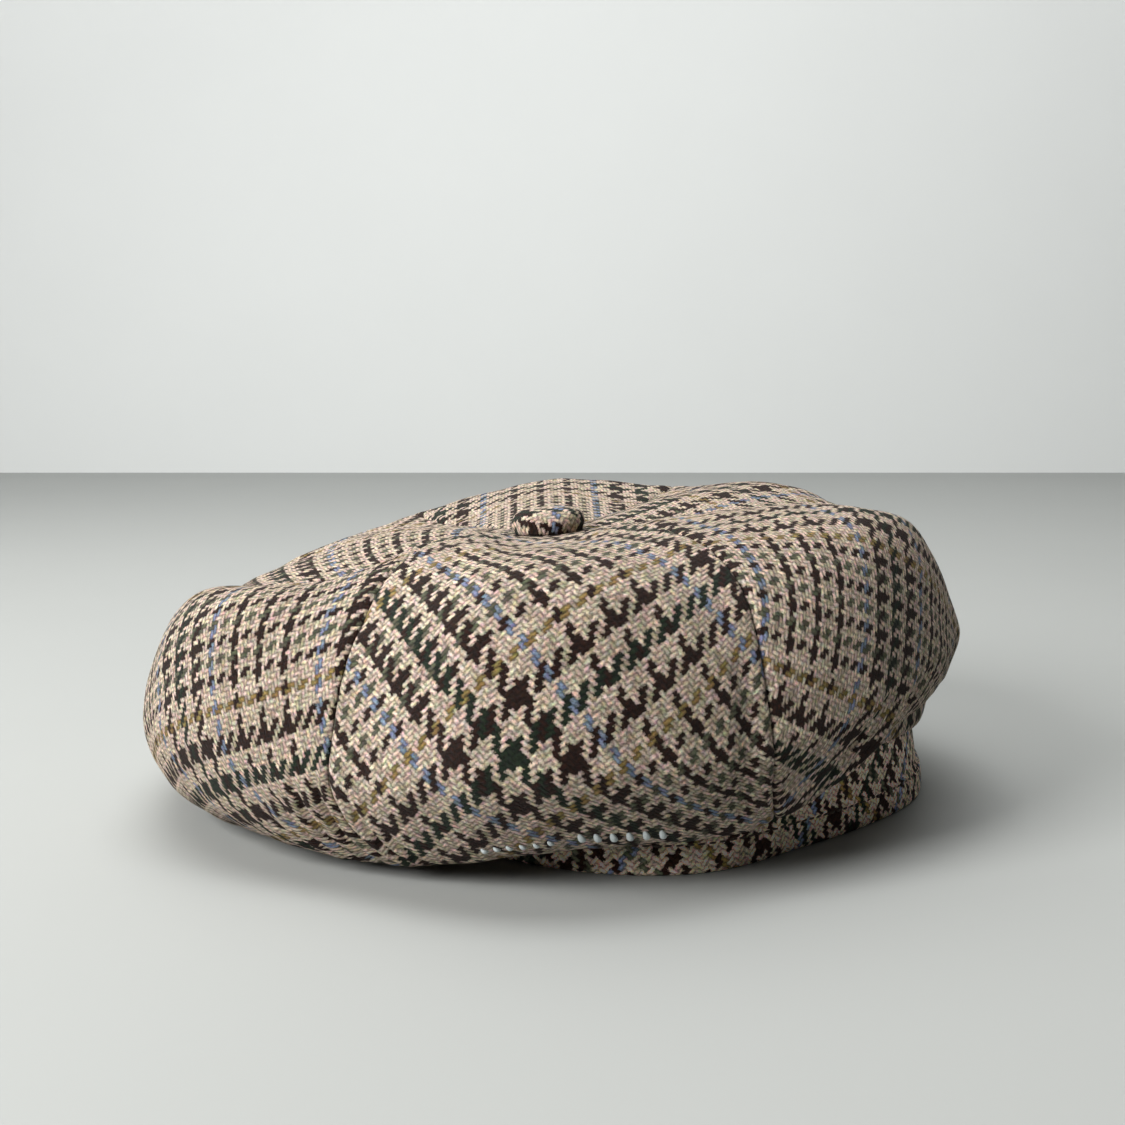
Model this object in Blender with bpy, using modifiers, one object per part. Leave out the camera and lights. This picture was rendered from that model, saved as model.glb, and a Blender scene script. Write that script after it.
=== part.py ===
"""A tweed tam o' shanter, lying on its headband with the crown slouched to one side.

Six sewn gores make the hollow crown, a turned and stitched headband carries it, and a
cloth-covered button closes the top. Metres, +Z up, with the table at z = 0 and the origin in
the middle of the hat's outline. Directions are counted anticlockwise from +X, seen from above.
"""

import math
from collections import namedtuple

import bpy
import numpy as np
from mathutils import Matrix

# Driving dimensions of the crown
CROWN_REACH = 0.150
CROWN_HEIGHT = 0.099
CLOTH = 0.002
GORES = 6
SEAM_DEPTH = 0.0028
SEAM_WIDTH = 0.006
CROWN_AXIS = np.array((-0.0040, -0.0005))
CENTRE_HOLE = 0.0035
CENTRE_DIP = 0.0075
CENTRE_HEIGHT = CROWN_HEIGHT - CENTRE_DIP
CENTRE_TILT = math.radians(4)

# Driving dimensions of the headband
BAND_RADIUS = 0.088
BAND_HEIGHT = 0.026
BAND_WALL = 0.003
BAND_AXIS = np.array((0.0380, -0.0205))
HEM_HEIGHT = 0.010
HEM_WALL = 0.0042
HEM_ROUNDING = 0.0012

# Driving dimensions of the button
BUTTON_RADIUS = 0.0132
BUTTON_HEIGHT = 0.0085
BUTTON_EDGE = 0.0035

# Clearance between pieces that are sewn face to face
GAP = 0.0003

# How finely the cloth is cut into faces
GORE_SHARES = (0, 0.013, 0.04, 0.1, 0.21, 0.35, 0.5, 0.65, 0.79, 0.9, 0.96, 0.987, 1)
BAND_STEPS = 60
BUTTON_STEPS = 28

# One row for each half gore, from the first seam on: a seam and a gore's middle in turn.
# at is its direction in degrees. Reaches are shares of CROWN_REACH and heights are shares of
# CROWN_HEIGHT. top: the upper face halfway out. shoulder: where it turns down, brim being
# its share of the way out. reach and waist: the fullest point. tuck and belly: the reach and
# height of the lowest point of the overhang. skirt: how far out the underside swells between
# them, 0.5 being straight and 0.71 a quarter round.
Section = namedtuple("Section", "at top brim shoulder reach waist tuck belly skirt")
SECTIONS = (
    Section(7, 0.98, 0.87, 0.91, 0.98, 0.61, 0.84, 0.37, 0.71),
    Section(37, 1.04, 0.87, 1.00, 0.99, 0.61, 0.85, 0.35, 0.71),
    Section(64, 0.96, 0.88, 0.98, 0.96, 0.59, 0.77, 0.25, 0.71),
    Section(91, 0.99, 0.87, 0.99, 0.98, 0.55, 0.79, 0.14, 0.71),
    Section(122, 0.89, 0.86, 0.87, 0.90, 0.48, 0.81, 0.09, 0.71),
    Section(154, 0.87, 0.86, 0.71, 0.92, 0.42, 0.85, 0.04, 0.71),
    Section(186, 0.77, 0.88, 0.68, 0.93, 0.36, 0.89, 0.02, 0.71),
    Section(216, 0.77, 0.88, 0.81, 0.98, 0.43, 0.80, 0.045, 0.71),
    Section(243, 0.97, 0.86, 0.80, 0.92, 0.36, 0.785, 0.055, 0.67),
    Section(267, 0.97, 0.86, 0.92, 0.975, 0.45, 0.76, 0.125, 0.6),
    Section(298, 1.02, 0.86, 0.91, 0.94, 0.45, 0.76, 0.175, 0.62),
    Section(331, 1.05, 0.88, 1.03, 0.95, 0.61, 0.74, 0.34, 0.67),
)
TOP_AT = 0.55
SEAT_EDGE = 0.003
BELLY_LEAN = 0.35

# One row for each twelfth of the headband: shares of BAND_RADIUS at the table and at the top.
BandSection = namedtuple("BandSection", "foot rim")
BAND_SECTIONS = (
    BandSection(foot=1.03, rim=0.98),
    BandSection(foot=1.20, rim=1.13),
    BandSection(foot=1.12, rim=1.07),
    BandSection(foot=1.07, rim=1.03),
    BandSection(foot=1.03, rim=0.98),
    BandSection(foot=1.00, rim=0.98),
    BandSection(foot=0.99, rim=0.97),
    BandSection(foot=1.02, rim=0.97),
    BandSection(foot=1.04, rim=0.97),
    BandSection(foot=1.00, rim=0.95),
    BandSection(foot=0.84, rim=0.83),
    BandSection(foot=0.86, rim=0.85),
)


def clear_scene():
    for item in list(bpy.data.objects):
        bpy.data.objects.remove(item, do_unlink=True)


def cloth_material(name, colour, roughness):
    material = bpy.data.materials.new(name)
    material.use_nodes = True
    shader = material.node_tree.nodes["Principled BSDF"]
    shader.inputs["Base Color"].default_value = (*colour, 1)
    shader.inputs["Roughness"].default_value = roughness
    shader.inputs["Metallic"].default_value = 0
    return material


def around(values, places):
    """Smooth closed curve through the values, read at places: 0 is the first, 1 the next."""
    values = np.asarray(values, float)
    before = np.floor(places).astype(int)
    part = places - before
    a, b, c, d = (values[(before + step) % len(values)] for step in (-1, 0, 1, 2))
    return b + 0.5 * part * (
        c - a + part * (2 * a - 5 * b + 4 * c - d + part * (3 * (b - c) + d - a))
    )


def section_values(places):
    """Each column of SECTIONS read at places among its rows, with the direction in radians."""
    even = 360 / len(SECTIONS)
    columns = list(zip(*SECTIONS))
    columns[0] = [turn - even * row for row, turn in enumerate(columns[0])]
    at, *others = (around(column, places) for column in columns)
    return Section(np.radians(at + even * places), *others)


def point(centre, radius, directions, height):
    """Points at a radius from an upright axis through centre."""
    x = centre[0] + radius * np.cos(directions)
    y = centre[1] + radius * np.sin(directions)
    return np.stack(np.broadcast_arrays(x, y, height), -1)


def centre_plane(radius, directions):
    """Height of the flat seat under the button, which leans with the slouch."""
    return CENTRE_HEIGHT + radius * np.cos(directions) * math.tan(CENTRE_TILT)


def band_radii(directions):
    """Outer radius of the headband at the table and at its top."""
    feet, rims = zip(*BAND_SECTIONS)
    places = directions / math.tau * len(BAND_SECTIONS)
    return BAND_RADIUS * around(feet, places), BAND_RADIUS * around(rims, places)


# How many rows of faces lead from each point of a meridian to the next
Span = namedtuple("Span", "start rows")
SPANS = (
    Span(start="hole", rows=1),
    Span(start="seat", rows=1),
    Span(start="seat_edge", rows=3),
    Span(start="top", rows=4),
    Span(start="shoulder", rows=5),
    Span(start="fullest", rows=3),
    Span(start="skirt", rows=3),
    Span(start="belly", rows=4),
    Span(start="neck", rows=1),
)
SPAN_STARTS = [span.start for span in SPANS]
SEAT_END = SPAN_STARTS.index("seat_edge")
NECK = SPAN_STARTS.index("neck")


def belly_points(places):
    """The lowest points of the crown's overhang."""
    shape = section_values(places)
    axis = CROWN_AXIS + BELLY_LEAN * (BAND_AXIS - CROWN_AXIS)
    return point(axis, shape.tuck * CROWN_REACH, shape.at, shape.belly * CROWN_HEIGHT)


def rim_points(places, out, up):
    """Points beside the headband's top edge, in line with the crown's lowest points."""
    across = belly_points(places)[..., :2] - BAND_AXIS
    directions = np.arctan2(across[..., 1], across[..., 0])
    rim = band_radii(directions)[1]
    return point(BAND_AXIS, rim + out, directions, BAND_HEIGHT + GAP + up)


def crown_stations(places):
    """The points that each meridian of the crown's outside runs through, from button to band."""
    shape = section_values(places)
    flat_radii = (CENTRE_HOLE, BUTTON_RADIUS, BUTTON_RADIUS + SEAT_EDGE)
    flat = [
        point(CROWN_AXIS, radius, shape.at, centre_plane(radius, shape.at))
        for radius in flat_radii
    ]
    reach = shape.reach * CROWN_REACH
    top = point(CROWN_AXIS, TOP_AT * reach, shape.at, shape.top * CROWN_HEIGHT)
    shoulder = point(CROWN_AXIS, shape.brim * reach, shape.at, shape.shoulder * CROWN_HEIGHT)
    fullest = point(CROWN_AXIS, reach, shape.at, shape.waist * CROWN_HEIGHT)
    belly = belly_points(places)
    out = shape.skirt[..., None]
    skirt = belly + (fullest - belly) * np.concatenate([out, out, 1 - out], -1)
    neck = rim_points(places, 2 * CLOTH, CLOTH)
    turn = rim_points(places, 0, 0)
    return np.stack([*flat, top, shoulder, fullest, skirt, belly, neck, turn])


def crown_outside(places, steps):
    """Points of the crown's outside before its seams are drawn in.

    places counts half gores round the crown and steps counts stations down it.
    """
    stations = crown_stations(places)
    spans = np.linalg.norm(np.diff(stations, axis=0), axis=-1, keepdims=True)
    slopes = np.empty_like(stations)
    slopes[1:-1] = (stations[2:] - stations[:-2]) / (spans[1:] + spans[:-1])
    slopes[0] = (stations[1] - stations[0]) / spans[0]
    slopes[-1] = (stations[-1] - stations[-2]) / spans[-1]
    before = np.clip(np.floor(steps).astype(int), 0, len(stations) - 2)
    part = (steps - before)[..., None]

    def read(table, index):
        return np.take_along_axis(table, index[None, ..., None], 0)[0]

    length = read(spans, before)
    return (
        read(stations, before) * (1 + 2 * part) * (1 - part) ** 2
        + read(slopes, before) * length * part * (1 - part) ** 2
        + read(stations, before + 1) * part**2 * (3 - 2 * part)
        + read(slopes, before + 1) * length * part**2 * (part - 1)
    )


def unit(vectors):
    return vectors / np.linalg.norm(vectors, axis=-1, keepdims=True)


def crown_normals(places, steps):
    """Outward directions of the crown's outside, and its width across the meridian for each
    place round.
    """
    small = 1e-3
    wide = crown_outside(places + small, steps) - crown_outside(places - small, steps)
    above = np.clip(steps - small, 0, len(SPANS))
    below = np.clip(steps + small, 0, len(SPANS))
    long = crown_outside(places, below) - crown_outside(places, above)
    across = np.cross(unit(long), wide)
    return unit(across), np.linalg.norm(across, axis=-1) / (2 * small)


def seam_groove(distance, half_width, steps):
    """How far the cloth is drawn in at a distance from a seam: a quarter round.

    It shrinks with the gore, and fades out at the button's seat and towards the headband.
    """
    width = np.minimum(SEAM_WIDTH, half_width / 2)
    fade = np.clip(steps - SEAT_END, 0, 1) * np.clip((NECK - steps) / 2, 0, 1)
    near = np.clip(1 - distance / width, 0, 1)
    return SEAM_DEPTH * width / SEAM_WIDTH * fade * (1 - np.sqrt(1 - near**2))


def gore_rows():
    """Place of each row along a meridian, in stations."""
    rows = []
    for station, span in enumerate(SPANS):
        rows.extend(station + step / span.rows for step in range(span.rows))
    return np.array(rows + [len(SPANS)])


def gore_grids(index):
    """Points of one gore's two sides, a row for each step from the button to the band."""
    shares = np.array(GORE_SHARES)
    steps = gore_rows()[:, None] * np.ones(len(shares))
    width, first_width, last_width = (
        crown_normals(np.full_like(steps, 2 * index + half), steps)[1] for half in (1, 0, 2)
    )
    first = 2 * index + GAP / 2 / first_width
    last = 2 * index + 2 - GAP / 2 / last_width
    places = first + shares * (last - first)
    normals = crown_normals(places, steps)[0]
    distance = width * np.minimum(shares, 1 - shares) * 2
    outside = crown_outside(places, steps)
    outside -= normals * seam_groove(distance, width, steps)[..., None]
    # The sewn edge lies on the headband's top as far as its inner face
    outside = np.concatenate([outside, rim_points(places[-1:], -BAND_WALL, 0)])
    normals[-1] = (0, 0, -1)
    normals = np.concatenate([normals, normals[-1:]])
    return outside, outside - CLOTH * normals


def grid_faces(numbers):
    """Quads between the rows and columns of a grid of vertex numbers."""
    corners = numbers[:-1, :-1], numbers[1:, :-1], numbers[1:, 1:], numbers[:-1, 1:]
    return np.stack(corners, -1).reshape(-1, 4).tolist()


def new_mesh(name, points, faces):
    mesh = bpy.data.meshes.new(name)
    mesh.from_pydata(points.reshape(-1, 3).tolist(), [], faces)
    return mesh


def shell_mesh(name, outside, inside):
    """A closed sheet of cloth between two grids of points."""
    rows, columns = outside.shape[:2]
    layer = rows * columns
    numbers = np.arange(layer).reshape(rows, columns)
    faces = grid_faces(numbers) + grid_faces(numbers[:, ::-1] + layer)
    border = [*numbers[0, :-1], *numbers[:-1, -1], *numbers[-1, :0:-1], *numbers[:0:-1, 0]]
    border = [int(number) for number in border]
    # Cut edges are split the same way in every gore, so that neighbours stay parallel
    for start, end in zip(border, border[1:] + border[:1]):
        if start < end:
            faces += [(start, end, end + layer), (start, end + layer, start + layer)]
        else:
            faces += [(start, end, start + layer), (end, end + layer, start + layer)]
    return new_mesh(name, np.stack([outside, inside]), faces)


def ring_mesh(name, sections):
    """A closed ring through sections, whose rows go round the cross-section."""
    rows, columns = sections.shape[:2]
    numbers = np.arange(rows * columns).reshape(rows, columns)
    return new_mesh(name, sections, grid_faces(np.pad(numbers, ((0, 1), (0, 1)), "wrap")))


def add_object(name, mesh, material, collection):
    mesh.materials.append(material)
    mesh.shade_smooth()
    mesh.set_sharp_from_angle(angle=math.radians(50))
    item = bpy.data.objects.new(name, mesh)
    collection.objects.link(item)
    return item


def make_gore(index, material, collection):
    name = f"crown_gore_{index + 1}"
    return add_object(name, shell_mesh(name, *gore_grids(index)), material, collection)


# One row for each corner of the headband's cross-section: a thick turned hem below a thinner
# upper wall. depth is measured inwards from the hem's face.
Corner = namedtuple("Corner", "depth height")
SETBACK = HEM_WALL - BAND_WALL
BAND_CORNERS = (
    Corner(depth=SETBACK + HEM_ROUNDING, height=BAND_HEIGHT),
    Corner(depth=SETBACK, height=BAND_HEIGHT - HEM_ROUNDING),
    Corner(depth=SETBACK, height=HEM_HEIGHT + HEM_ROUNDING),
    Corner(depth=HEM_ROUNDING / 2, height=HEM_HEIGHT),
    Corner(depth=0, height=HEM_HEIGHT / 2),
    Corner(depth=HEM_ROUNDING / 4, height=HEM_ROUNDING),
    Corner(depth=HEM_ROUNDING, height=0),
    Corner(depth=HEM_WALL, height=0),
    Corner(depth=HEM_WALL, height=BAND_HEIGHT),
)


def make_headband(material, collection):
    directions = np.linspace(0, math.tau, BAND_STEPS, endpoint=False)
    foot, rim = band_radii(directions)
    sections = []
    for depth, height in BAND_CORNERS:
        face = foot + (rim + SETBACK - foot) * height / BAND_HEIGHT
        sections.append(point(BAND_AXIS, face - depth, directions, height))
    mesh = ring_mesh("headband", np.stack(sections))
    return add_object("headband", mesh, material, collection)


def make_button(material, collection):
    """A domed covered button, turned from its profile and leaning with the crown's centre."""
    rounding = 5
    corners = [(0.0, BUTTON_HEIGHT)]
    flat = BUTTON_RADIUS - BUTTON_EDGE
    crest = BUTTON_HEIGHT * 0.94
    corners.append((flat * 0.6, BUTTON_HEIGHT * 0.99))
    for step in range(rounding + 1):
        turn = math.pi / 2 * step / rounding
        out = flat + BUTTON_EDGE * math.sin(turn)
        up = BUTTON_HEIGHT * 0.3 + (crest - BUTTON_HEIGHT * 0.3) * math.cos(turn)
        corners.append((out, up))
    corners.append((BUTTON_RADIUS * 0.93, 0.0))
    corners.append((0.0, 0.0))
    mesh = bpy.data.meshes.new("button")
    edges = [(step, step + 1) for step in range(len(corners) - 1)]
    mesh.from_pydata([(out, 0, up) for out, up in corners], edges, [])
    button = add_object("button", mesh, material, collection)
    turned = button.modifiers.new("turned", "SCREW")
    turned.steps = BUTTON_STEPS
    turned.render_steps = BUTTON_STEPS
    turned.use_merge_vertices = True
    turned.merge_threshold = 1e-5
    turned.use_smooth_shade = True
    lean = Matrix.Rotation(-CENTRE_TILT, 4, "Y")
    centre = Matrix.Translation((*CROWN_AXIS, CENTRE_HEIGHT))
    seat = centre @ lean @ Matrix.Translation((0, 0, GAP))
    button.matrix_world = seat
    return button


def main():
    clear_scene()
    collection = bpy.data.collections.new("tam_o_shanter")
    bpy.context.scene.collection.children.link(collection)
    tweed = cloth_material("tweed", (0.42, 0.36, 0.30), 0.95)
    band_tweed = cloth_material("band_tweed", (0.36, 0.31, 0.26), 0.95)
    button_tweed = cloth_material("button_tweed", (0.40, 0.33, 0.29), 0.95)
    for index in range(GORES):
        make_gore(index, tweed, collection)
    make_headband(band_tweed, collection)
    make_button(button_tweed, collection)


main()
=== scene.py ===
"""Looks for the tweed tam o' shanter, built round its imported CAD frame.

Laid out as an add-on, with an operator for each piece, and run as a script.
"""

import math
from collections import namedtuple

import bpy
import numpy as np
from mathutils import Matrix


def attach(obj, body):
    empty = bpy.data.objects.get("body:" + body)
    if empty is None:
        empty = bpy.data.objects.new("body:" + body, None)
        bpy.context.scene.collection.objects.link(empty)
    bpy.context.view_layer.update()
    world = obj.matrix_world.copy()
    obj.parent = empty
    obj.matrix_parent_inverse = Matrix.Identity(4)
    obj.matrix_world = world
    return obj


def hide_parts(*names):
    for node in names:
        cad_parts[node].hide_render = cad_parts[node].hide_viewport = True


bl_info = {
    "name": "Tweed tam o' shanter",
    "version": (1, 0, 0),
    "blender": (4, 5, 0),
    "location": "3D View > Sidebar > Tam",
    "description": "Dresses the frame of a tam o' shanter in checked tweed",
    "category": "Add Mesh",
}

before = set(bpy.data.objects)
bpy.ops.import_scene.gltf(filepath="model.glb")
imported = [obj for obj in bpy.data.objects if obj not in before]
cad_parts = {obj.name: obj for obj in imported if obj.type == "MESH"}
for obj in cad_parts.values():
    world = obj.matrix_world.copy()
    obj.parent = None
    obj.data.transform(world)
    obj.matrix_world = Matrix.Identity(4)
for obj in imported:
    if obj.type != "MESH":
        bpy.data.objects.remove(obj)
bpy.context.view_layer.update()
MM = 0.001

# The frame's own sizes in metres, with its shares and angles, repeated because its source
# can't be read from here
CROWN_REACH = 0.150
CROWN_HEIGHT = 0.099
CLOTH = 0.002
GORES = 6
CROWN_AXIS = np.array((-0.0040, -0.0005))
CENTRE_HOLE = 0.0035
CENTRE_HEIGHT = 0.0915
CENTRE_TILT = math.radians(4)
BAND_RADIUS = 0.088
BAND_HEIGHT = 0.026
BAND_WALL = 0.003
BAND_AXIS = np.array((0.0380, -0.0205))
HEM_HEIGHT = 0.010
HEM_WALL = 0.0042
BUTTON_RADIUS = 0.0132
BUTTON_HEIGHT = 0.0085
TOP_AT = 0.55
SEAT_EDGE = 0.003
BELLY_LEAN = 0.35
CLEARANCE = 0.3 * MM

# One row for each seam and each gore's middle, in turn, as the frame has them
Section = namedtuple("Section", "at top brim shoulder reach waist tuck belly skirt")
SECTIONS = (
    Section(7, 0.98, 0.87, 0.91, 0.98, 0.61, 0.84, 0.37, 0.71),
    Section(37, 1.04, 0.87, 1.00, 0.99, 0.61, 0.85, 0.35, 0.71),
    Section(64, 0.96, 0.88, 0.98, 0.96, 0.59, 0.77, 0.25, 0.71),
    Section(91, 0.99, 0.87, 0.99, 0.98, 0.55, 0.79, 0.14, 0.71),
    Section(122, 0.89, 0.86, 0.87, 0.90, 0.48, 0.81, 0.09, 0.71),
    Section(154, 0.87, 0.86, 0.71, 0.92, 0.42, 0.85, 0.04, 0.71),
    Section(186, 0.77, 0.88, 0.68, 0.93, 0.36, 0.89, 0.02, 0.71),
    Section(216, 0.77, 0.88, 0.81, 0.98, 0.43, 0.80, 0.045, 0.71),
    Section(243, 0.97, 0.86, 0.80, 0.92, 0.36, 0.785, 0.055, 0.67),
    Section(267, 0.97, 0.86, 0.92, 0.975, 0.45, 0.76, 0.125, 0.6),
    Section(298, 1.02, 0.86, 0.91, 0.94, 0.45, 0.76, 0.175, 0.62),
    Section(331, 1.05, 0.88, 1.03, 0.95, 0.61, 0.74, 0.34, 0.67),
)
BAND_FEET = (1.03, 1.20, 1.12, 1.07, 1.03, 1.00, 0.99, 1.02, 1.04, 1.00, 0.84, 0.86)
BAND_RIMS = (0.98, 1.13, 1.07, 1.03, 1.00, 0.98, 0.97, 0.97, 0.97, 0.95, 0.83, 0.85)

# How each gore was laid on the checked cloth: the turn of its grain in degrees, where the
# check's repeat falls on it, in yarns across and along, and how much its ends are drawn closer
Lay = namedtuple("Lay", "turn across along gather")
LAYS = (
    Lay(turn=5, across=20, along=20, gather=1),
    Lay(turn=0, across=45, along=8, gather=1),
    Lay(turn=-64, across=9, along=40, gather=1),
    Lay(turn=26.5, across=14.1, along=18.7, gather=1.4),
    Lay(turn=39.5, across=28.5, along=50, gather=1),
    Lay(turn=-34, across=16.4, along=11.9, gather=1.4),
)

# Creases and ridges that run down the cloth between two points, each given as a place round
# the crown and a step down it, with their half width and height in millimetres
Fold = namedtuple("Fold", "start end width height")
FOLDS = (
    Fold(start=(7.93, 5.0), end=(7.90, 7.2), width=1.3, height=-2.4),
    Fold(start=(7.80, 5.1), end=(7.81, 7.2), width=1.4, height=-2.6),
    Fold(start=(7.67, 5.4), end=(7.72, 7.1), width=1.5, height=-2.2),
    Fold(start=(7.54, 5.7), end=(7.62, 7.0), width=1.6, height=-1.6),
    Fold(start=(8.09, 5.3), end=(8.09, 7.1), width=1.4, height=-2.0),
    Fold(start=(8.20, 5.8), end=(8.18, 7.0), width=1.5, height=-1.4),
    Fold(start=(10.62, 5.0), end=(10.22, 6.8), width=3.5, height=-2.8),
    Fold(start=(10.78, 5.1), end=(10.38, 6.8), width=3.5, height=2.2),
    Fold(start=(10.94, 5.2), end=(10.54, 6.8), width=3.2, height=-2.6),
    Fold(start=(9.92, 4.4), end=(9.80, 6.6), width=4.5, height=-2.2),
)


# Rows of hand stitches: their first and last place round the crown and their step down it,
# then each stitch's slant in degrees, and its length, width and lift in millimetres
HandRow = namedtuple("HandRow", "first last step slant length width lift")
HAND_ROWS = (
    HandRow(first=9.12, last=9.47, step=6.42, slant=-66, length=4.0, width=2.1, lift=0.7),
    HandRow(first=8.62, last=8.97, step=6.46, slant=-50, length=2.6, width=1.4, lift=0.5),
)
HAND_COUNT = 6


class TamTweed(bpy.types.PropertyGroup):
    """The checked cloth: its yarns and their colours."""

    pitch: bpy.props.FloatProperty(
        name="Yarn pitch", description="Distance from one yarn to the next",
        default=1.45 * MM, unit="LENGTH",
    )
    relief: bpy.props.FloatProperty(
        name="Yarn relief", description="How far a yarn stands above the gap beside it",
        default=0.5 * MM, unit="LENGTH",
    )
    cream: bpy.props.FloatVectorProperty(
        name="Cream", description="Ground of the check", subtype="COLOR",
        default=(0.90, 0.72, 0.565),
    )
    brown: bpy.props.FloatVectorProperty(
        name="Brown", description="Dark yarn of the bold and the fine check", subtype="COLOR",
        default=(0.034, 0.014, 0.009),
    )
    green: bpy.props.FloatVectorProperty(
        name="Green", description="Dark yarn in the middle of the bold check", subtype="COLOR",
        default=(0.020, 0.032, 0.018),
    )
    moss: bpy.props.FloatVectorProperty(
        name="Moss", description="Pale end between the lines of the fine check",
        subtype="COLOR", default=(0.66, 0.55, 0.40),
    )
    sage: bpy.props.FloatVectorProperty(
        name="Sage", description="Every second line of the picks' fine check", subtype="COLOR",
        default=(0.14, 0.14, 0.09),
    )
    blue: bpy.props.FloatVectorProperty(
        name="Blue", description="Overcheck among the ends", subtype="COLOR",
        default=(0.27, 0.33, 0.46),
    )
    gold: bpy.props.FloatVectorProperty(
        name="Gold", description="Overcheck among the picks", subtype="COLOR",
        default=(0.36, 0.25, 0.09),
    )


class TamCrown(bpy.types.PropertyGroup):
    """The folds and seams of the crown."""

    seam_depth: bpy.props.FloatProperty(
        name="Seam depth", description="How far a seam draws the cloth in",
        default=1.9 * MM, unit="LENGTH",
    )
    seam_width: bpy.props.FloatProperty(
        name="Seam width", description="Width of the cloth that turns down into a seam",
        default=3.6 * MM, unit="LENGTH",
    )
    pucker: bpy.props.FloatProperty(
        name="Pucker", description="Height of the small waves beside a seam",
        default=0.35 * MM, unit="LENGTH",
    )
    slack: bpy.props.FloatProperty(
        name="Slack", description="Height of the cloth's soft unevenness",
        default=1.1 * MM, unit="LENGTH",
    )
    folds: bpy.props.FloatProperty(
        name="Folds", description="Strength of the creases and ridges", default=1.0,
    )


class TamStitches(bpy.types.PropertyGroup):
    """The threads that show."""

    hem_line: bpy.props.FloatProperty(
        name="Hem line", description="Height of the topstitching above the table",
        default=8.9 * MM, unit="LENGTH",
    )
    hem_pitch: bpy.props.FloatProperty(
        name="Hem pitch", description="Length of one topstitch with its gap",
        default=3.4 * MM, unit="LENGTH",
    )
    thread: bpy.props.FloatVectorProperty(
        name="Thread", description="Colour of the topstitching", subtype="COLOR",
        default=(0.11, 0.085, 0.065),
    )
    hand_thread: bpy.props.FloatVectorProperty(
        name="Hand thread", description="Colour of the hand stitches", subtype="COLOR",
        default=(0.60, 0.66, 0.66),
    )


class TamStage(bpy.types.PropertyGroup):
    """Floor, light and camera."""

    floor: bpy.props.FloatVectorProperty(
        name="Floor", description="Colour of the floor", subtype="COLOR",
        default=(0.34, 0.35, 0.34),
    )
    wall: bpy.props.FloatVectorProperty(
        name="Wall", description="Colour of the wall behind", subtype="COLOR",
        default=(0.74, 0.76, 0.75),
    )
    camera: bpy.props.FloatVectorProperty(
        name="Camera", description="Where the camera stands", subtype="TRANSLATION",
        default=(0.001, -0.5405, 0.151),
    )
    pitch: bpy.props.FloatProperty(
        name="Camera pitch", description="How far the camera looks down",
        default=math.radians(7.46), subtype="ANGLE",
    )


def around(values, places):
    """Smooth closed curve through the values, read at places: 0 is the first, 1 the next."""
    values = np.asarray(values, float)
    before = np.floor(places).astype(int)
    part = places - before
    a, b, c, d = (values[(before + step) % len(values)] for step in (-1, 0, 1, 2))
    return b + 0.5 * part * (
        c - a + part * (2 * a - 5 * b + 4 * c - d + part * (3 * (b - c) + d - a))
    )


def section_values(places):
    """Each column of SECTIONS read at places among its rows, with the direction in radians."""
    even = 360 / len(SECTIONS)
    columns = list(zip(*SECTIONS))
    columns[0] = [turn - even * row for row, turn in enumerate(columns[0])]
    at, *others = (around(column, places) for column in columns)
    return Section(np.radians(at + even * places), *others)


def point(centre, radius, directions, height):
    """Points at a radius from an upright axis through centre."""
    x = centre[0] + radius * np.cos(directions)
    y = centre[1] + radius * np.sin(directions)
    return np.stack(np.broadcast_arrays(x, y, height), -1)


def band_radii(directions):
    """Outer radius of the headband at the table and at its top."""
    places = directions / math.tau * len(BAND_FEET)
    return BAND_RADIUS * around(BAND_FEET, places), BAND_RADIUS * around(BAND_RIMS, places)


def belly_points(places):
    """The lowest points of the crown's overhang."""
    shape = section_values(places)
    axis = CROWN_AXIS + BELLY_LEAN * (BAND_AXIS - CROWN_AXIS)
    return point(axis, shape.tuck * CROWN_REACH, shape.at, shape.belly * CROWN_HEIGHT)


def rim_points(places, out, up):
    """Points beside the headband's top edge, in line with the crown's lowest points."""
    across = belly_points(places)[..., :2] - BAND_AXIS
    directions = np.arctan2(across[..., 1], across[..., 0])
    rim = band_radii(directions)[1]
    return point(BAND_AXIS, rim + out, directions, BAND_HEIGHT + CLEARANCE + up)


def crown_stations(places):
    """The points that each meridian of the crown runs through, from button to band."""
    shape = section_values(places)
    flat = []
    for radius in (CENTRE_HOLE, BUTTON_RADIUS, BUTTON_RADIUS + SEAT_EDGE):
        height = CENTRE_HEIGHT + radius * np.cos(shape.at) * math.tan(CENTRE_TILT)
        flat.append(point(CROWN_AXIS, radius, shape.at, height))
    reach = shape.reach * CROWN_REACH
    top = point(CROWN_AXIS, TOP_AT * reach, shape.at, shape.top * CROWN_HEIGHT)
    shoulder = point(CROWN_AXIS, shape.brim * reach, shape.at, shape.shoulder * CROWN_HEIGHT)
    fullest = point(CROWN_AXIS, reach, shape.at, shape.waist * CROWN_HEIGHT)
    belly = belly_points(places)
    out = shape.skirt[..., None]
    skirt = belly + (fullest - belly) * np.concatenate([out, out, 1 - out], -1)
    neck = rim_points(places, 2 * CLOTH, CLOTH)
    turn = rim_points(places, 0, 0)
    return np.stack([*flat, top, shoulder, fullest, skirt, belly, neck, turn])


SEAT_END = 2
NECK = 8
LAST = 9


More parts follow.
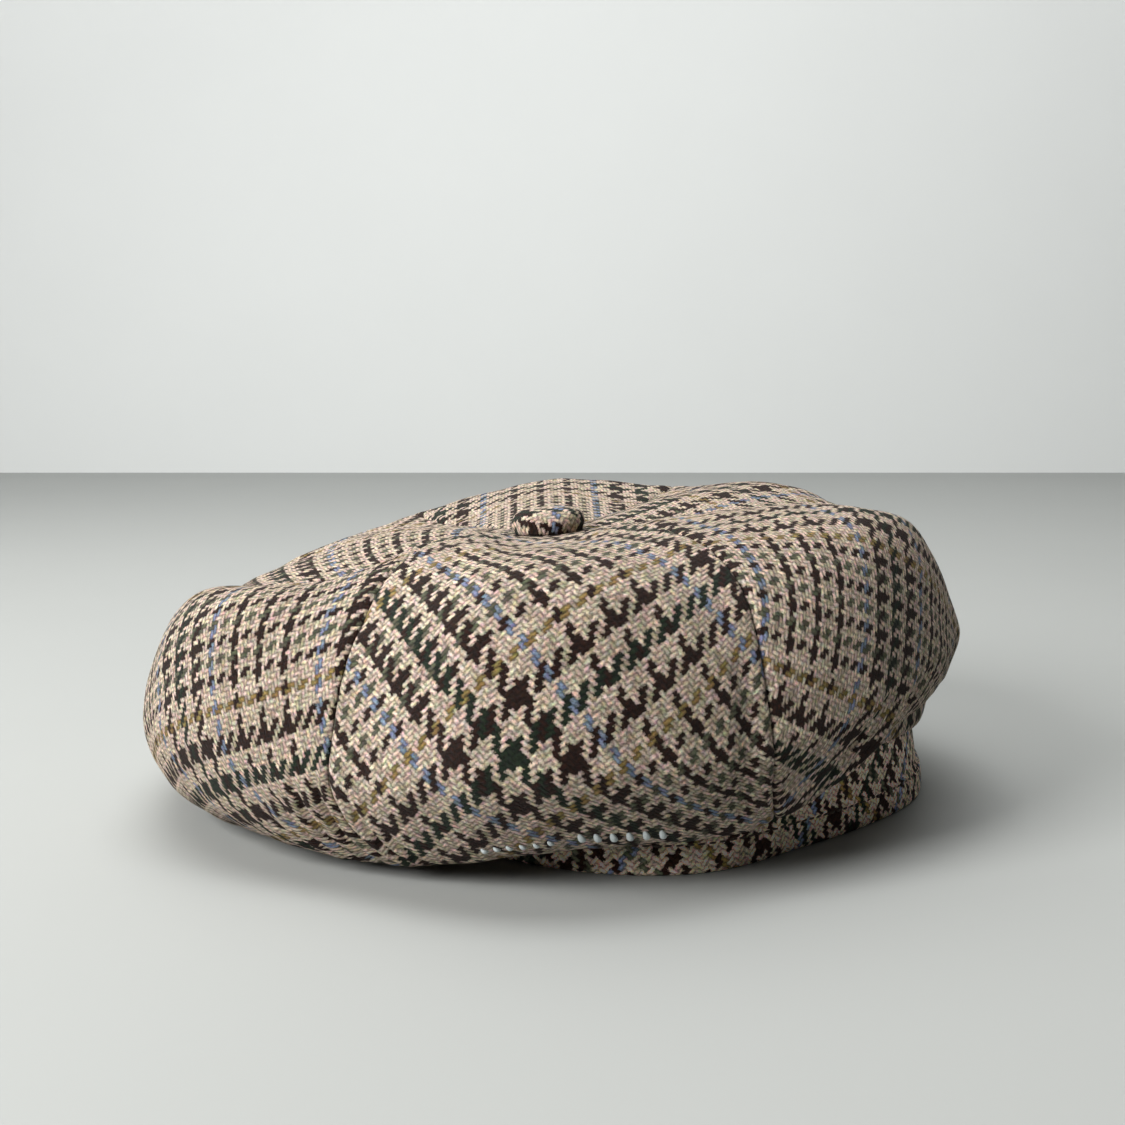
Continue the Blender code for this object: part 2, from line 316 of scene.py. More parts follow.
def crown_surface(places, steps):
    """Points of the crown; places counts half gores round it, steps counts stations down it."""
    stations = crown_stations(places)
    spans = np.linalg.norm(np.diff(stations, axis=0), axis=-1, keepdims=True)
    slopes = np.empty_like(stations)
    slopes[1:-1] = (stations[2:] - stations[:-2]) / (spans[1:] + spans[:-1])
    slopes[0] = (stations[1] - stations[0]) / spans[0]
    slopes[-1] = (stations[-1] - stations[-2]) / spans[-1]
    before = np.clip(np.floor(steps).astype(int), 0, len(stations) - 2)
    part = (steps - before)[..., None]

    def read(table, index):
        return np.take_along_axis(table, index[None, ..., None], 0)[0]

    length = read(spans, before)
    return (
        read(stations, before) * (1 + 2 * part) * (1 - part) ** 2
        + read(slopes, before) * length * part * (1 - part) ** 2
        + read(stations, before + 1) * part**2 * (3 - 2 * part)
        + read(slopes, before + 1) * length * part**2 * (part - 1)
    )


def unit(vectors):
    """Vectors brought to a length of 1."""
    return vectors / np.linalg.norm(vectors, axis=-1, keepdims=True)


def surface_normals(places, steps):
    """Outward directions of the crown, and its width across for each place round."""
    small = 1e-3
    wide = crown_surface(places + small, steps) - crown_surface(places - small, steps)
    above = np.clip(steps - small, 0, LAST)
    below = np.clip(steps + small, 0, LAST)
    long = crown_surface(places, below) - crown_surface(places, above)
    across = np.cross(unit(long), wide)
    return unit(across), np.linalg.norm(across, axis=-1) / (2 * small)


def run_along(line):
    """Distance along a line of points, from its first."""
    return np.concatenate([[0], np.cumsum(np.linalg.norm(np.diff(line, axis=0), axis=-1))])


def turned(across, along, turn):
    """Distances across and along a piece, on cloth whose grain is turned by an angle."""
    u = across * math.cos(turn) - along * math.sin(turn)
    v = across * math.sin(turn) + along * math.cos(turn)
    return u, v


# How many waves the soft unevenness is made of, and about how high they reach together
WAVES = 7
WAVES_HEIGHT = 3.2


def waves(points, length, seed):
    """Soft unevenness, mostly from -1 to 1, with hollows about a length apart."""
    draw = np.random.default_rng(seed)
    total = np.zeros(points.shape[:-1])
    for _ in range(WAVES):
        way = unit(draw.normal(size=3)) * draw.uniform(0.7, 1.5) / length
        total += np.sin(math.tau * (points @ way) + draw.uniform(0, math.tau))
    return total / WAVES_HEIGHT


def ease(value, low, high):
    """0 up to low, 1 from high on, and smooth between them."""
    part = np.clip((value - low) / (high - low), 0, 1)
    return part * part * (3 - 2 * part)


def grid_object(name, points, flat):
    """A sheet through a grid of points, with the flat map that the cloth's yarns follow."""
    rows, columns = points.shape[:2]
    bpy.ops.object.select_all(action="DESELECT")
    bpy.ops.mesh.primitive_grid_add(x_subdivisions=columns - 1, y_subdivisions=rows - 1)
    item = bpy.context.object
    item.name = name
    mesh = item.data
    mesh.name = name
    mesh.vertices.foreach_set("co", points.astype(np.float32).ravel())
    corner = np.zeros(len(mesh.loops), int)
    mesh.loops.foreach_get("vertex_index", corner)
    layer = mesh.uv_layers.active
    layer.name = "cloth"
    layer.data.foreach_set("uv", flat.reshape(-1, 2)[corner].astype(np.float32).ravel())
    mesh.update()
    return item


def select_only(item):
    """Selects one object, and makes it the active one."""
    bpy.ops.object.select_all(action="DESELECT")
    bpy.context.view_layer.objects.active = item
    item.select_set(True)


def apply_modifier(item, kind, **settings):
    """Adds a modifier and applies it at once."""
    select_only(item)
    modifier = item.modifiers.new(kind.lower(), kind)
    for key, value in settings.items():
        setattr(modifier, key, value)
    bpy.ops.object.modifier_apply(modifier=modifier.name)


def finish_piece(item, material, replaced=()):
    """Gives a piece its material and slot, and rides it on the body."""
    item.data.materials.clear()
    item.data.materials.append(material)
    item.data.shade_smooth()
    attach(item, "root")
    if replaced:
        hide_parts(*replaced)


class Value:
    """A node's socket that takes part in arithmetic, adding a Math node for each step."""

    def __init__(self, finish, socket):
        self.finish = finish
        self.socket = socket

    def maths(self, operation, *others):
        return self.finish.maths(operation, self, *others)

    def __add__(self, other):
        return self.maths("ADD", other)

    def __sub__(self, other):
        return self.maths("SUBTRACT", other)

    def __mul__(self, other):
        return self.maths("MULTIPLY", other)

    def __truediv__(self, other):
        return self.maths("DIVIDE", other)

    def __mod__(self, other):
        return self.maths("FLOORED_MODULO", other)

    def __lt__(self, other):
        return self.maths("LESS_THAN", other)

    def __radd__(self, other):
        return self.finish.maths("ADD", other, self)

    def __rsub__(self, other):
        return self.finish.maths("SUBTRACT", other, self)

    def __rmul__(self, other):
        return self.finish.maths("MULTIPLY", other, self)

    def floor(self):
        return self.maths("FLOOR")

    def sine(self):
        return self.maths("SINE")


class Finish:
    """A material under construction."""

    def __init__(self, name, colour, roughness, sheen):
        self.material = bpy.data.materials.new(name)
        self.material.use_nodes = True
        self.material.diffuse_color = (*colour, 1)
        self.nodes = self.material.node_tree.nodes
        self.links = self.material.node_tree.links
        self.shader = self.nodes["Principled BSDF"]
        self.shader.inputs["Base Color"].default_value = (*colour, 1)
        self.shader.inputs["Roughness"].default_value = roughness
        self.shader.inputs["Sheen Weight"].default_value = sheen
        self.shader.inputs["Sheen Roughness"].default_value = 0.5
        self.shader.inputs["Specular IOR Level"].default_value = 0.08

    def node(self, kind, settings=None, sockets=None, output=0):
        """Adds a node: its settings first, then the values or links of its sockets."""
        made = self.nodes.new(kind)
        for key, value in (settings or {}).items():
            if key == "stops":
                self.set_stops(made.color_ramp, value)
            else:
                setattr(made, key, value)
        for key, value in (sockets or {}).items():
            if isinstance(value, Value):
                self.links.new(value.socket, made.inputs[key])
            else:
                made.inputs[key].default_value = value
        return Value(self, made.outputs[output])

    @staticmethod
    def set_stops(ramp, stops):
        """Gives a ramp its stops, each plain up to the next."""
        ramp.interpolation = "CONSTANT"
        ramp.elements[0].position = 0
        ramp.elements[1].position = 1
        ramp.elements.remove(ramp.elements[1])
        for place, colour in stops[1:]:
            ramp.elements.new(place).color = (*colour, 1)
        ramp.elements[0].color = (*stops[0][1], 1)

    def maths(self, operation, *values):
        return self.node(
            "ShaderNodeMath", {"operation": operation}, dict(enumerate(values))
        )

    def mix(self, factor, first, second, blend="MIX"):
        """A mix of two colours; a plain one is given as three numbers."""
        pair = [c if isinstance(c, Value) else (*c, 1) for c in (first, second)]
        return self.node(
            "ShaderNodeMix", {"data_type": "RGBA", "blend_type": blend},
            {0: factor, 6: pair[0], 7: pair[1]}, 2,
        )

    def vector(self, x, y, z):
        return self.node("ShaderNodeCombineXYZ", None, {0: x, 1: y, 2: z})

    def noise(self, vector, scale, detail=2.0, rough=0.5, output=0):
        return self.node(
            "ShaderNodeTexNoise", None,
            {"Vector": vector, "Scale": scale, "Detail": detail, "Roughness": rough}, output,
        )

    def wire(self, name, value):
        self.links.new(value.socket, self.shader.inputs[name])

    def bump(self, height, distance):
        """Sends a height, in shares of a distance, to the shader's normal."""
        bumped = self.node("ShaderNodeBump", None, {"Height": height, "Distance": distance})
        self.wire("Normal", bumped)


def check_stops(tweed, overcheck, fine):
    """Stops that colour one repeat of the check yarn by yarn, and how many yarns it has."""
    cream, brown, green = tweed.cream, tweed.brown, tweed.green
    bands = [(2, overcheck), (4, cream), (4, brown), (4, cream), (4, green), (4, cream)]
    bands += [(4, brown), (4, cream), (2, overcheck), (2, cream)]
    for line in fine:
        bands += [(2, line), (2, cream)]
    bands[-1] = (4, cream)
    total = sum(count for count, _ in bands)
    stops = []
    yarn = 0
    for count, colour in bands:
        stops.append((yarn / total, tuple(colour)))
        yarn += count
    return stops, total


# Yarns in one repeat of the twill, half of them up
TWILL = 4
# The picks' colours start two yarns on, so that the fine check's dark lines run along the ends
PICK_START = 2
# How far the yarns stray, in yarns, slowly and raggedly
WOBBLE = 0.7
RAGGEDNESS = 1.7
# How often a yarn's colour and its fibres change from yarn to yarn, and along it
FLECK_ACROSS = 3.7
FLECK_ALONG = 0.55
FIBRE_ACROSS = 6
FIBRE_ALONG = 1.6
# The least of each share of the tweed's painted shade and fleck, and what is added to it
# Painted shade: the yarns' height darkens the gaps between them and lightens their crowns
GAP_PAINTED_SHADE = (0.28, 0.98)
FLECK_SHADE = (0.05, 1.80)
# The fibres' streaks are partly their own uneven colour and partly painted highlight and shade
FIBRE_SHADE = (-0.50, 3.00)
# How much of a stray colour the wool takes on
TINT = 0.60
# Shares of the relief that the yarns and their fibres have
YARN_BUMP = 0.7
FIBRE_BUMP = 0.8


# A painted light above 1 brightens a copy of the cloth, as painted light on a shaded piece
def tweed_material(name, tweed, painted_light=1.0):
    """Two-and-two twill in a woven check, worked out yarn by yarn from the cloth's own map."""
    cloth = Finish(name, tuple(tweed.cream), 0.95, 0.07)
    mapped = cloth.node("ShaderNodeUVMap", {"uv_map": "cloth"})
    wobble = cloth.noise(mapped, 260.0)
    ragged = cloth.noise(mapped, 1300.0, 3.0, 0.8)
    shift = (wobble - 0.5) * WOBBLE + (ragged - 0.5) * RAGGEDNESS
    across, along = (
        cloth.node("ShaderNodeSeparateXYZ", None, {0: mapped}, side) * (1 / tweed.pitch) + shift
        for side in (0, 1)
    )
    end = across.floor()
    pick = along.floor()
    warp_up = (end + pick) % TWILL < TWILL / 2
    end_part = across - end
    pick_part = along - pick
    brown, moss, sage = tweed.brown, tweed.moss, tweed.sage
    end_check = check_stops(tweed, tweed.blue, (moss, brown, moss, brown, moss, brown, moss))
    pick_check = check_stops(tweed, tweed.gold, (brown, sage, brown, sage, brown, sage, brown))

    def yarn_colour(index, check):
        stops, total = check
        place = (index % total + 0.5) / total
        return cloth.node("ShaderNodeValToRGB", {"stops": stops}, {0: place})

    warp_float = ((end + along) % TWILL) * (math.tau / TWILL)
    weft_float = ((across + pick - TWILL / 2) % TWILL) * (math.tau / TWILL)

    def yarn_height(part, floating):
        """A yarn is round across, and bows where it floats over others."""
        side = part * 2 - 1
        return (1 - side * side) * (0.45 + 0.55 * floating.sine())

    warp_height = yarn_height(end_part, warp_float)
    weft_height = yarn_height(pick_part, weft_float)
    height = weft_height + (warp_height - weft_height) * warp_up

    def fleck(index, way, seed):
        place = cloth.vector(index * FLECK_ACROSS, way * FLECK_ALONG, seed)
        return cloth.noise(place, 1.0, 2.0, 0.6)

    def fibres(side, way, seed):
        return cloth.noise(cloth.vector(side, way, seed), 1.0, 4.0, 0.8)

    warp_fleck = fleck(end, along, 1.0)
    weft_fleck = fleck(pick, across, 9.0)
    melange = weft_fleck + (warp_fleck - weft_fleck) * warp_up
    warp_fibre = fibres(across * FIBRE_ACROSS, along * FIBRE_ALONG, 3.0)
    weft_fibre = fibres(across * FIBRE_ALONG, along * FIBRE_ACROSS, 5.0)
    fibre = weft_fibre + (warp_fibre - weft_fibre) * warp_up
    woven = cloth.mix(
        warp_up, yarn_colour(pick + PICK_START, pick_check), yarn_colour(end, end_check)
    )
    # Painted shade in the gaps between the yarns and along their fibres, with the wool's own
    # flecks
    painted_gap_shade, by_fleck, by_fibre = (
        least + more * value
        for value, (least, more) in (
            (height, GAP_PAINTED_SHADE), (melange, FLECK_SHADE), (fibre, FIBRE_SHADE)
        )
    )
    painted_shade_and_fleck = painted_gap_shade * by_fleck * by_fibre * painted_light
    painted_shade_and_fleck_grey = cloth.node("ShaderNodeCombineColor", None, {0: painted_shade_and_fleck, 1: painted_shade_and_fleck, 2: painted_shade_and_fleck})
    tint = cloth.mix(TINT, (1, 1, 1), cloth.noise(mapped, 620.0, 2.0, 0.6, 1))
    tinted = cloth.mix(1.0, woven, tint, "MULTIPLY")
    cloth.wire("Base Color", cloth.mix(1.0, tinted, painted_shade_and_fleck_grey, "MULTIPLY"))
    cloth.bump(height * YARN_BUMP + fibre * FIBRE_BUMP, tweed.relief)
    return cloth.material


def thread_material(name, colour):
    """Dull thread, with fine fibres."""
    thread = Finish(name, tuple(colour), 0.8, 0.2)
    place = thread.node("ShaderNodeTexCoord", None, None, 3)
    fibre = thread.noise(place, 3800.0)
    dark = tuple(0.55 * part for part in colour)
    thread.wire("Base Color", thread.mix(fibre, dark, tuple(colour)))
    thread.bump(fibre, 0.2 * MM)
    return thread.material


def stage_material(name, colour, roughness):
    """Matt floor or wall, with faint cloudiness."""
    matt = Finish(name, tuple(colour), roughness, 0.0)
    place = matt.node("ShaderNodeTexCoord", None, None, 3)
    clouds = matt.noise(place, 6.0, 3.0)
    light = tuple(min(1.0, 1.03 * part) for part in colour)
    matt.wire("Base Color", matt.mix(clouds, tuple(colour), light))
    return matt.material


GORE_COLUMNS = 161
GORE_ROWS = 150
# Points that a gore's mid-line is measured by
LINE_POINTS = 900
# How much closer than even a gore's columns stand beside its seams
SEAM_CROWDING = 0.09
# How far the pucker reaches from a seam, and how far apart its waves are
PUCKER_REACH = 5 * MM
PUCKER_WAVE = 0.0065
# Share, length in metres and seed of each set of waves in the slack cloth
SLACK_WAVES = ((0.6, 0.055, 4), (0.35, 0.021, 5))


def gore_steps(place):
    """Rows of a gore, evenly spaced along the cloth on one meridian."""
    fine = np.linspace(0, LAST, LINE_POINTS)
    run = run_along(crown_surface(np.full_like(fine, place), fine))
    return np.interp(np.linspace(0, run[-1], GORE_ROWS), run, fine)


def gore_points(index, crown):
    """Points of one gore's outside, and its flat map in metres."""
    even = np.linspace(0, 1, GORE_COLUMNS)
    shares = even - SEAM_CROWDING * np.sin(math.tau * even)
    steps = gore_steps(2 * index + 1)[:, None] * np.ones(GORE_COLUMNS)
    places = 2 * index + 2 * shares * np.ones((GORE_ROWS, 1))
    plain = crown_surface(places, steps)
    normals, width = surface_normals(places, steps)
    distance = width * np.minimum(shares, 1 - shares) * 2
    narrow = np.minimum(crown.seam_width, width / 2)
    near = np.clip(1 - distance / narrow, 0, 1)
    groove = crown.seam_depth * narrow / crown.seam_width * (1 - np.sqrt(1 - near**2))
    out = -groove * free_share(steps, 0.6, 1)
    out += soft_height(plain, places, steps, width, crown)
    beside = np.exp(-distance / PUCKER_REACH) * (1 - np.exp(-distance / MM))
    out += crown.pucker * beside * waves(plain, PUCKER_WAVE, 6) * free_share(steps)
    points = plain + normals * out[..., None]
    return points, gore_map(index, plain)


def free_share(steps, start=1.2, end=1.6):
    """1 where the crown's cloth hangs free, 0 where the button and the band hold it.

    It rises over the steps of start, below the button, and falls over those of end.
    """
    return ease(steps, SEAT_END, SEAT_END + start) * (1 - ease(steps, NECK - end, NECK))


def soft_height(plain, places, steps, width, crown):
    """How far the slack cloth and its folds stand out from the plain surface."""
    out = crown.slack * sum(
        share * waves(plain, length, seed) for share, length, seed in SLACK_WAVES
    )
    for fold in FOLDS:
        share = (steps - fold.start[1]) / (fold.end[1] - fold.start[1])
        line = fold.start[0] + share * (fold.end[0] - fold.start[0])
        gap = (places - line) * width / (fold.width * MM)
        bowl = np.sin(math.pi * np.clip(share, 0, 1)) ** 0.6
        out = out + crown.folds * fold.height * MM * bowl * np.exp(-(gap**2))
    return out * free_share(steps)


def gore_map(index, plain):
    """Lays a gore flat: distance from its mid-line across, and run along it, on the cloth."""
    lay = LAYS[index]
    middle = plain.shape[1] // 2
    run = run_along(plain[:, middle])
    gaps = np.linalg.norm(np.diff(plain, axis=1), axis=-1)
    reach = np.concatenate([np.zeros((len(plain), 1)), np.cumsum(gaps, axis=1)], axis=1)
    across = reach - reach[:, middle : middle + 1]
    along = run[:, None] * np.ones_like(across)
    u, v = turned(across, along, math.radians(lay.turn))
    pitch = bpy.context.scene.tam_tweed.pitch
    return np.stack([u * lay.gather + lay.across * pitch, v + lay.along * pitch], -1)


class TAM_OT_crown(bpy.types.Operator):
    """Dresses the six gores of the crown"""

    bl_idname = "tam.crown"
    bl_label = "Crown"

    def execute(self, context):
        material = tweed_material("tweed", context.scene.tam_tweed)
        for index in range(GORES):
            points, flat = gore_points(index, context.scene.tam_crown)
            # Columns run clockwise, so that the faces point outwards
            item = grid_object(f"tweed_gore_{index + 1}", points[:, ::-1], flat[:, ::-1])
            apply_modifier(item, "SOLIDIFY", thickness=CLOTH, offset=-1, use_rim=True)
            finish_piece(item, material, [f"crown_gore_{index + 1}"])
        return {"FINISHED"}


BAND_COLUMNS = 420
# How far the band's cloth is turned on its grain
BAND_GRAIN = math.radians(38)
# How much brighter the band's cloth is painted than the crown's: painted light that lifts it
# out of its shade
BAND_PAINTED_LIGHT = 2.1
# How deep the topstitching draws the hem in
HEM_GROOVE = 0.75 * MM
# Slant in degrees, then length, width and lift of a topstitch
HEM_STITCH = (4, 2.5 * MM, 0.7 * MM, 0.15 * MM)
# Distance between the hem's soft swellings, and their height
SWELL_LENGTH = 0.019
SWELL_HEIGHT = 0.3 * MM


def band_face(directions, height):
    """Radius of the hem's outer face, before the upper wall's setback."""
    foot, rim = band_radii(directions)
    return foot + (rim + HEM_WALL - BAND_WALL - foot) * height / BAND_HEIGHT


def band_profile(line):
    """Depth and height of the headband's section, up its outside, down its inside and back."""
    setback = HEM_WALL - BAND_WALL
    roll = 1.6 * MM
    section = []
    for turn in np.linspace(0, math.pi / 2, 6):
        section.append((roll * (1 - math.sin(turn)), roll * (1 - math.cos(turn))))
    section += [(0, 0.3 * HEM_HEIGHT), (0, 0.5 * HEM_HEIGHT), (0, line - 1.5 * MM)]
    section += [(0.25 * MM, line - 0.8 * MM), (HEM_GROOVE, line - 0.25 * MM)]
    section += [(0.8 * MM, line + 0.2 * MM), (0.35 * MM, line + 0.7 * MM)]
    section += [(0.6 * MM, HEM_HEIGHT), (setback, HEM_HEIGHT + 0.9 * MM)]
    for height in np.linspace(HEM_HEIGHT + 2 * MM, BAND_HEIGHT - 0.5 * MM, 12):
        section.append((setback, height))
    section += [(setback + 0.5 * MM, BAND_HEIGHT), (HEM_WALL - 0.6 * MM, BAND_HEIGHT)]
    for height in np.linspace(BAND_HEIGHT - 0.6 * MM, 0.6 * MM, 12):
        section.append((HEM_WALL, height))
    section.append((HEM_WALL - 0.6 * MM, 0))
    return np.array([*section, section[0]])


def band_points(section, directions):
    """Points of the headband, with a soft swell on the hem's outside."""
    depth, height = section[:, :1], section[:, 1:]
    face = band_face(directions, height)
    points = point(BAND_AXIS, face - depth, directions, height * np.ones_like(face))
    swell = waves(points * [1, 1, 0], SWELL_LENGTH, 12) * SWELL_HEIGHT
    hem = ease(height, 1 * MM, 3 * MM) * (1 - ease(height, 7 * MM, 9 * MM))
    outside = depth < 1 * MM
    radial = unit((points - [*BAND_AXIS, 0]) * [1, 1, 0])
    return points + radial * (swell * hem * outside)[..., None]


def band_map(section, directions):
    """Lays the headband flat: distance round it, and run over its section, on the cloth."""
    spans = band_face(directions, HEM_HEIGHT) * math.tau / BAND_COLUMNS
    run = np.concatenate([[0], np.cumsum(spans[1:])])
    across, along = turned(run, run_along(section)[:, None], BAND_GRAIN)
    return np.stack([across, along], -1)


class TAM_OT_headband(bpy.types.Operator):
    """Dresses the headband and its hem"""

    bl_idname = "tam.headband"
    bl_label = "Headband"

    def execute(self, context):
        scene = context.scene
        section = band_profile(scene.tam_stitches.hem_line)
        directions = np.linspace(0, math.tau, BAND_COLUMNS + 1)
        points = band_points(section, directions)
        item = grid_object("tweed_headband", points, band_map(section, directions))
        apply_modifier(item, "WELD", merge_threshold=1e-6)
        # The band's tweed is the crown's cloth made brighter with painted light
        material = tweed_material("band_tweed", scene.tam_tweed, BAND_PAINTED_LIGHT)
        finish_piece(item, material, ["headband"])
        return {"FINISHED"}


BUTTON_RINGS = 26
BUTTON_SPOKES = 73
BUTTON_PLEATS = 14
# The cloth's run over the dome, as a share of its radius
BUTTON_RUN = 1.25
# Where the check's repeat falls on the button, in yarns across and along
BUTTON_LAY = (29, 17)


class TAM_OT_button(bpy.types.Operator):
    """Dresses the covered button"""

    bl_idname = "tam.button"
    bl_label = "Button"

    def execute(self, context):
        turns = np.linspace(0, math.tau, BUTTON_SPOKES)
        shares = np.linspace(0, 1, BUTTON_RINGS)[:, None]
        flat = BUTTON_RADIUS * BUTTON_RUN * shares
        # The dome is widest a little above its foot, and turns in below
        out = BUTTON_RADIUS * np.sin(np.clip(shares * 1.12, 0, 1) * math.pi / 2) ** 0.9
        out = out * (1 - 0.07 * ease(shares, 0.88, 1))
        up = BUTTON_HEIGHT * (1 - shares**3.2)
        # Small uneven pleats gather the cloth towards the edge
        pleats = np.sin(turns * BUTTON_PLEATS + 2.2 * np.sin(turns * 3))
        gather = pleats * ease(shares, 0.45, 0.95)
        out = out * (1 + 0.018 * gather)
        up = up + 0.25 * MM * gather * (1 - ease(shares, 0.93, 1))
        points = point((0, 0), out, turns, up)
        lean = np.array(Matrix.Rotation(-CENTRE_TILT, 3, "Y"))
        points = points @ lean.T + [*CROWN_AXIS, CENTRE_HEIGHT + CLEARANCE]
        cloth = np.stack([flat * np.cos(turns), flat * np.sin(turns)], -1)
        cloth = cloth + np.array(BUTTON_LAY) * context.scene.tam_tweed.pitch
        # Columns run clockwise, so that the faces point outwards
        item = grid_object("tweed_button", points[:, ::-1], cloth[:, ::-1])
        apply_modifier(item, "WELD", merge_threshold=1e-6)
        close_open_edge(item)
        material = tweed_material("button_tweed", context.scene.tam_tweed)
        finish_piece(item, material, ["button"])
        return {"FINISHED"}


def close_open_edge(item):
    """Closes a piece's one open edge with a face."""
    select_only(item)
    bpy.ops.object.mode_set(mode="EDIT")
    bpy.ops.mesh.select_mode(type="EDGE")
    bpy.ops.mesh.select_all(action="DESELECT")
    bpy.ops.mesh.select_non_manifold()
    bpy.ops.mesh.edge_face_add()
    bpy.ops.mesh.select_mode(type="VERT")
    bpy.ops.mesh.select_all(action="DESELECT")
    bpy.ops.object.mode_set(mode="OBJECT")


Stitch = namedtuple("Stitch", "centre outward sideways slant length width lift")


def band_stitch(turn, height, setback, *shape):
    """A stitch on the headband's outside."""
    radius = float(band_face(np.array(turn), height)) - setback
    outward = np.array((math.cos(turn), math.sin(turn), 0))
    sideways = np.array((-math.sin(turn), math.cos(turn), 0))
    return Stitch(point(BAND_AXIS, radius, np.array(turn), height), outward, sideways, *shape)


def crown_stitch(place, step, crown, *shape):
    """A stitch on the crown's cloth."""
    places, steps = np.array([place]), np.array([step])
    plain = crown_surface(places, steps)
    normals, width = surface_normals(places, steps)
    outward = normals[0]
    centre = plain[0] + outward * soft_height(plain, places, steps, width, crown)[0]
    sideways = unit(crown_surface(places + 0.01, steps)[0] - plain[0])
    return Stitch(centre, outward, sideways, *shape)


def stitch_row(name, stitches, material):
    """Small raised stitches, each a bowed and tapered thread."""
    bpy.ops.object.select_all(action="DESELECT")
    bpy.ops.mesh.primitive_uv_sphere_add(segments=10, ring_count=7, radius=1)
    model = bpy.context.object
    shape = np.array([v.co for v in model.data.vertices])
    polygons = [list(p.vertices) for p in model.data.polygons]
    bpy.data.objects.remove(model, do_unlink=True)
    vertices, faces = [], []
    for stitch in stitches:
        upward = np.cross(stitch.outward, stitch.sideways)
        slant = math.radians(stitch.slant)
        long = stitch.sideways * math.cos(slant) + upward * math.sin(slant)
        wide = upward * math.cos(slant) - stitch.sideways * math.sin(slant)
        bow = stitch.lift * (1 - shape[:, 2:] ** 2)
        part = (
            stitch.centre
            + shape[:, 2:] * stitch.length / 2 * long
            + shape[:, :1] * stitch.width / 2 * wide
            + (shape[:, 1:2] * stitch.width * 0.4 + bow) * stitch.outward
        )
        first = len(vertices) * len(shape)
        vertices.append(part)
        faces += [[first + corner for corner in face] for face in polygons]
    mesh = bpy.data.meshes.new(name)
    mesh.from_pydata(np.concatenate(vertices).tolist(), [], faces)
    item = bpy.data.objects.new(name, mesh)
    bpy.context.scene.collection.objects.link(item)
    select_only(item)
    bpy.ops.object.mode_set(mode="EDIT")
    bpy.ops.mesh.select_all(action="SELECT")
    bpy.ops.mesh.normals_make_consistent(inside=False)
    bpy.ops.mesh.select_all(action="DESELECT")
    bpy.ops.object.mode_set(mode="OBJECT")
    finish_piece(item, material)


# Degrees between the places where the hem's radius is read, to space its stitches evenly
HEM_READING = 0.25


class TAM_OT_stitches(bpy.types.Operator):
    """Sews the hem's topstitching and the hand stitches above it"""

    bl_idname = "tam.stitches"
    bl_label = "Stitches"

    def execute(self, context):
        settings = context.scene.tam_stitches
        turns = np.radians(np.arange(0, 360, HEM_READING))
        faces = band_face(turns, settings.hem_line)
        run = np.concatenate([[0], np.cumsum(faces * math.radians(HEM_READING))])
        count = round(run[-1] / settings.hem_pitch)
        places = np.interp(
            np.arange(count) / count * run[-1], run, np.append(turns, math.tau)
        )
        row = [
            band_stitch(turn, settings.hem_line, HEM_GROOVE, *HEM_STITCH) for turn in places
        ]
        thread = thread_material("hem_thread", settings.thread)
        stitch_row("hem_topstitching", row, thread)
        hand = []
        for sewn in HAND_ROWS:
            shape = (sewn.slant, sewn.length * MM, sewn.width * MM, sewn.lift * MM)
            for place in np.linspace(sewn.first, sewn.last, HAND_COUNT):
                hand.append(crown_stitch(place, sewn.step, context.scene.tam_crown, *shape))
        pale = thread_material("hand_thread", settings.hand_thread)
        stitch_row("hand_stitches", hand, pale)
        return {"FINISHED"}


def add_lamp(name, place, aim, size, power, colour):
    """A soft square lamp that faces a point."""
    bpy.ops.object.select_all(action="DESELECT")
    bpy.ops.object.light_add(type="AREA", location=place)
    lamp = bpy.context.object
    lamp.name = name
    lamp.data.size = size
    lamp.data.energy = power
    lamp.data.color = colour
    way = np.array(aim) - place
    lamp.rotation_euler = (
        math.atan2(math.hypot(way[0], way[1]), -way[2]), 0, math.atan2(-way[0], way[1])
    )


STAGE_SIZE = 14
WALL_BEHIND = 1.6
CROWN_MIDDLE = (0, 0, 0.05)
# Each lamp's name, place, aim, size in metres, power in watts and colour
LAMPS = (
    ("sky", (-0.35, 0.30, 1.05), CROWN_MIDDLE, 0.9, 6.5, (1.0, 0.99, 0.97)),
    ("window", (-1.05, -0.80, 0.80), CROWN_MIDDLE, 0.7, 35, (1.0, 0.99, 0.98)),
    ("wall_wash", (0, 0.2, 2.4), (0, WALL_BEHIND, 0.6), 1.6, 45, (1.0, 1.0, 1.0)),
)


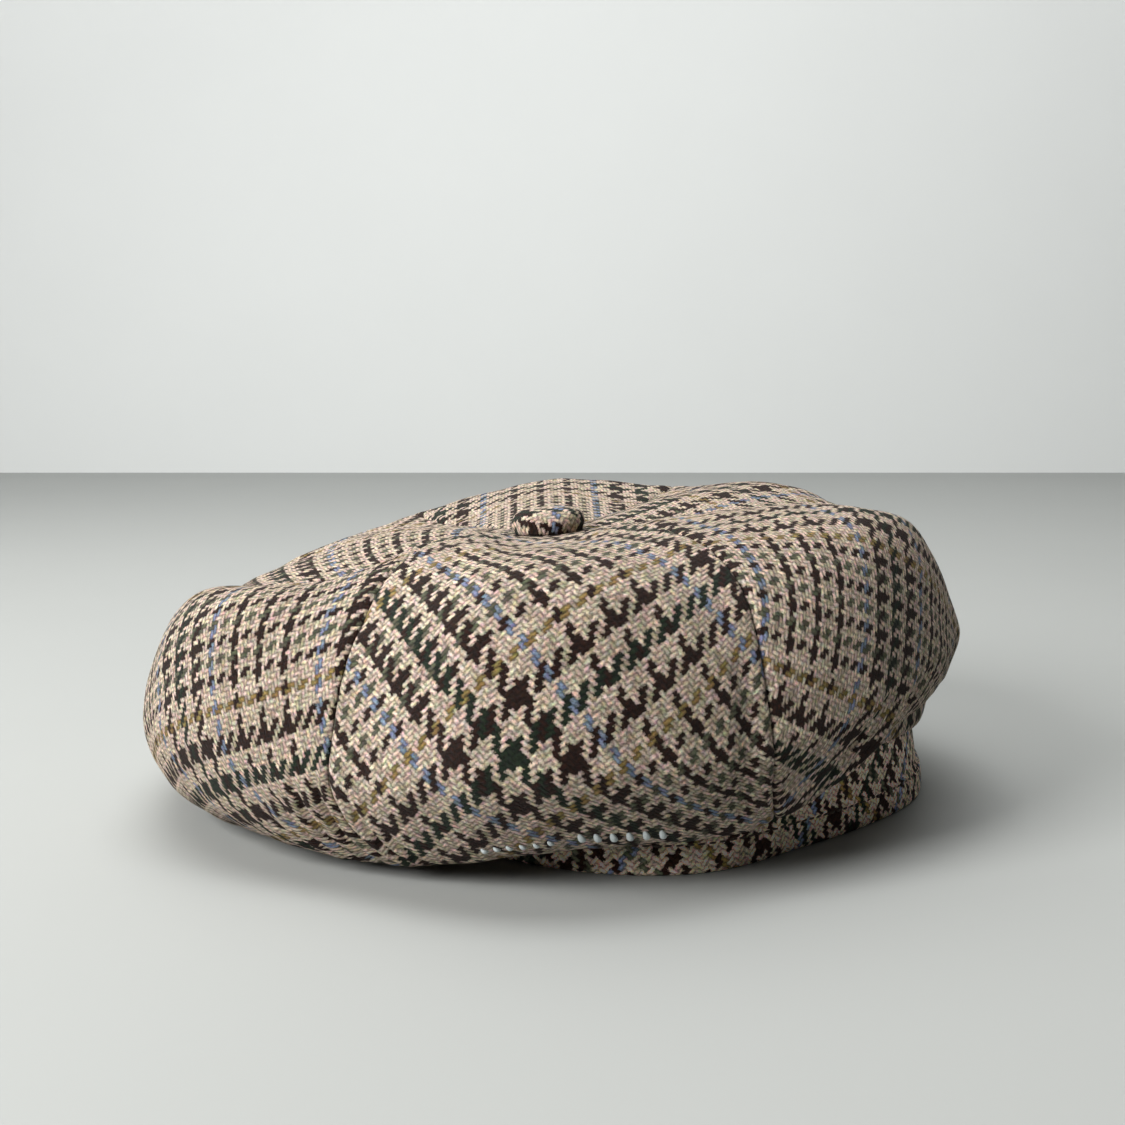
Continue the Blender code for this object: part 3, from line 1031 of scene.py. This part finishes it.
class TAM_OT_stage(bpy.types.Operator):
    """Sets the floor, the soft light and the camera"""

    bl_idname = "tam.stage"
    bl_label = "Stage"

    def execute(self, context):
        settings = context.scene.tam_stage
        bpy.ops.object.select_all(action="DESELECT")
        bpy.ops.mesh.primitive_plane_add(size=STAGE_SIZE, location=(0, 0, 0))
        floor = context.object
        floor.name = "floor"
        floor.data.materials.append(stage_material("floor", settings.floor, 0.7))
        bpy.ops.mesh.primitive_plane_add(
            size=STAGE_SIZE, location=(0, WALL_BEHIND, 0), rotation=(math.pi / 2, 0, 0)
        )
        wall = context.object
        wall.name = "wall"
        wall.data.materials.append(stage_material("wall", settings.wall, 0.8))
        for lamp in LAMPS:
            add_lamp(*lamp)
        context.scene.view_settings.view_transform = "Standard"
        world = bpy.data.worlds.new("studio")
        world.use_nodes = True
        background = world.node_tree.nodes["Background"]
        background.inputs["Color"].default_value = (0.86, 0.88, 0.88, 1)
        background.inputs["Strength"].default_value = 0.06
        context.scene.world = world
        bpy.ops.object.camera_add(
            location=settings.camera, rotation=(math.pi / 2 - settings.pitch, 0, 0)
        )
        camera = context.object
        camera.name = "photo_camera"
        camera.data.lens = 48
        camera.data.sensor_width = 36
        camera.data.clip_start = 0.01
        context.scene.camera = camera
        return {"FINISHED"}


class TAM_PT_panel(bpy.types.Panel):
    """Pieces of the tam o' shanter"""

    bl_label = "Tam o' shanter"
    bl_idname = "TAM_PT_panel"
    bl_space_type = "VIEW_3D"
    bl_region_type = "UI"
    bl_category = "Tam"

    def draw(self, context):
        for operator in OPERATORS:
            self.layout.operator(operator.bl_idname)
        for name in SETTINGS:
            settings = getattr(context.scene, name)
            box = self.layout.box()
            for key in settings.__annotations__:
                box.prop(settings, key)


SETTINGS = {
    "tam_tweed": TamTweed,
    "tam_crown": TamCrown,
    "tam_stitches": TamStitches,
    "tam_stage": TamStage,
}
OPERATORS = (TAM_OT_crown, TAM_OT_headband, TAM_OT_button, TAM_OT_stitches, TAM_OT_stage)


def register():
    for kind in (*SETTINGS.values(), *OPERATORS, TAM_PT_panel):
        bpy.utils.register_class(kind)
    for name, kind in SETTINGS.items():
        setattr(bpy.types.Scene, name, bpy.props.PointerProperty(type=kind))


def unregister():
    for name in SETTINGS:
        delattr(bpy.types.Scene, name)
    for kind in reversed((*SETTINGS.values(), *OPERATORS, TAM_PT_panel)):
        bpy.utils.unregister_class(kind)


def main():
    register()
    bpy.ops.tam.stage()
    bpy.ops.tam.crown()
    bpy.ops.tam.headband()
    bpy.ops.tam.button()
    bpy.ops.tam.stitches()


if __name__ == "__main__":
    main()
